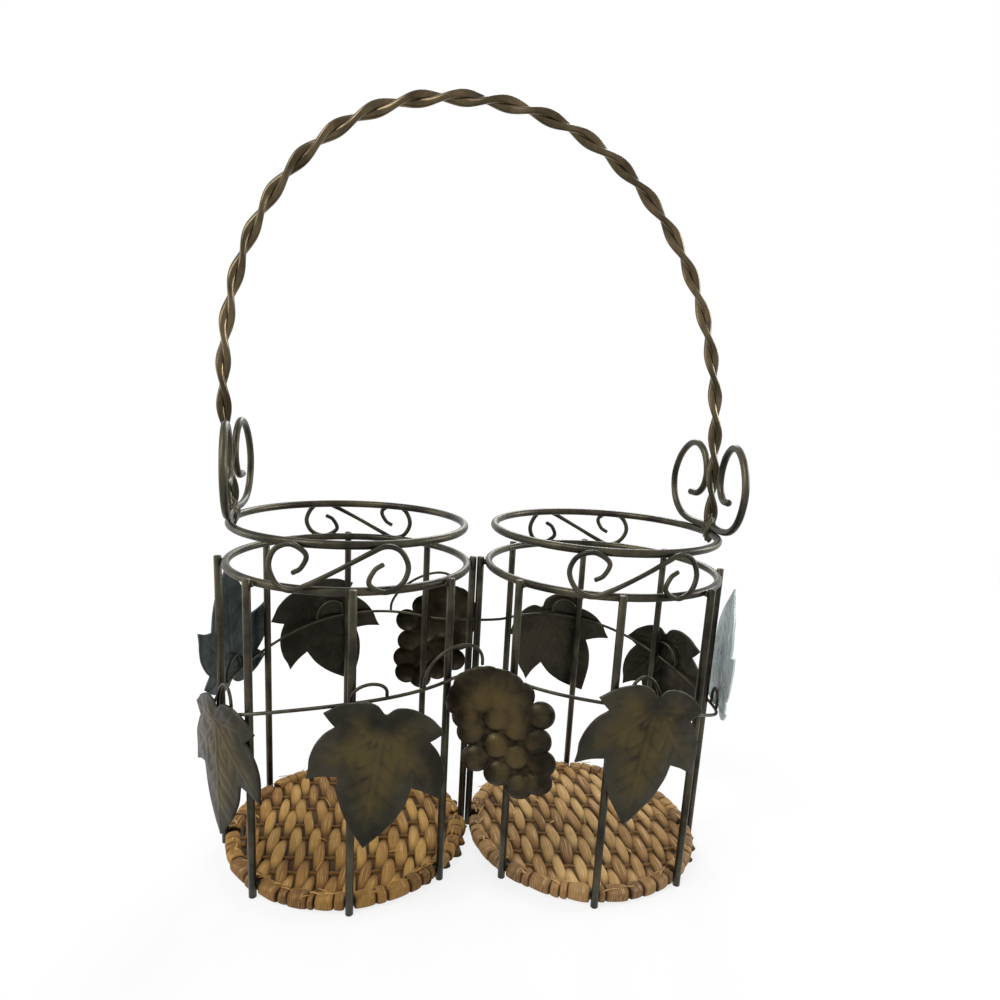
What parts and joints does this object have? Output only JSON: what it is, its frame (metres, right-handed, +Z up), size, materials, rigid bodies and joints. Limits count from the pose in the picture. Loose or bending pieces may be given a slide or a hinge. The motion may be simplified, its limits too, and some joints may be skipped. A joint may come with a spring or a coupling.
{
  "type": "wine bottle basket",
  "caption": "Wire carrier for two wine bottles: round cages side by side under a twisted arch handle, with vine leaves, grapes and woven grass mats.",
  "frame": {"origin": "centre of the bounding box at the floor, under the middle of the carrier", "axes": "+Z up along the handle's height, X along the pair of cages, -Y is the pictured front"},
  "size_m": [0.2506, 0.1328, 0.341],
  "materials": {
    "bronzed_iron": "dark olive bronze paint on iron wire, satin, slightly uneven",
    "bronzed_sheet": "dark olive bronze paint on stamped sheet, satin, rubbed brown in places",
    "seagrass": "dried tan grass strands, dull"
  },
  "bodies": {
    "root": {"grapes_back": "bronzed_sheet", "grapes_back_stem": "bronzed_iron", "grapes_front": "bronzed_sheet", "grapes_front_stem": "bronzed_iron", "handle_strand_a": "bronzed_iron", "handle_strand_b": "bronzed_iron", "leaf_left_back": "bronzed_sheet", "leaf_left_back_stem": "bronzed_iron", "leaf_left_corner": "bronzed_sheet", "leaf_left_corner_stem": "bronzed_iron", "leaf_left_front": "bronzed_sheet", "leaf_left_front_stem": "bronzed_iron", "leaf_left_side": "bronzed_sheet", "leaf_left_side_stem": "bronzed_iron", "leaf_right_back": "bronzed_sheet", "leaf_right_back_stem": "bronzed_iron", "leaf_right_corner": "bronzed_sheet", "leaf_right_corner_stem": "bronzed_iron", "leaf_right_front": "bronzed_sheet", "leaf_right_front_stem": "bronzed_iron", "leaf_right_side": "bronzed_sheet", "leaf_right_side_stem": "bronzed_iron", "left_bar_1": "bronzed_iron", "left_bar_2": "bronzed_iron", "left_bar_3": "bronzed_iron", "left_bar_4": "bronzed_iron", "left_bar_5": "bronzed_iron", "left_bar_6": "bronzed_iron", "left_bar_7": "bronzed_iron", "left_bar_8": "bronzed_iron", "left_base_ring": "bronzed_iron", "left_bracket": "bronzed_iron", "left_mat": "seagrass", "left_neck_ring": "bronzed_iron", "left_scroll_back": "bronzed_iron", "left_scroll_front": "bronzed_iron", "left_top_ring": "bronzed_iron", "right_bar_1": "bronzed_iron", "right_bar_2": "bronzed_iron", "right_bar_3": "bronzed_iron", "right_bar_4": "bronzed_iron", "right_bar_5": "bronzed_iron", "right_bar_6": "bronzed_iron", "right_bar_7": "bronzed_iron", "right_bar_8": "bronzed_iron", "right_base_ring": "bronzed_iron", "right_bracket": "bronzed_iron", "right_mat": "seagrass", "right_neck_ring": "bronzed_iron", "right_scroll_back": "bronzed_iron", "right_scroll_front": "bronzed_iron", "right_top_ring": "bronzed_iron", "vine_hoop": "bronzed_iron"}
  },
  "joints": []
}
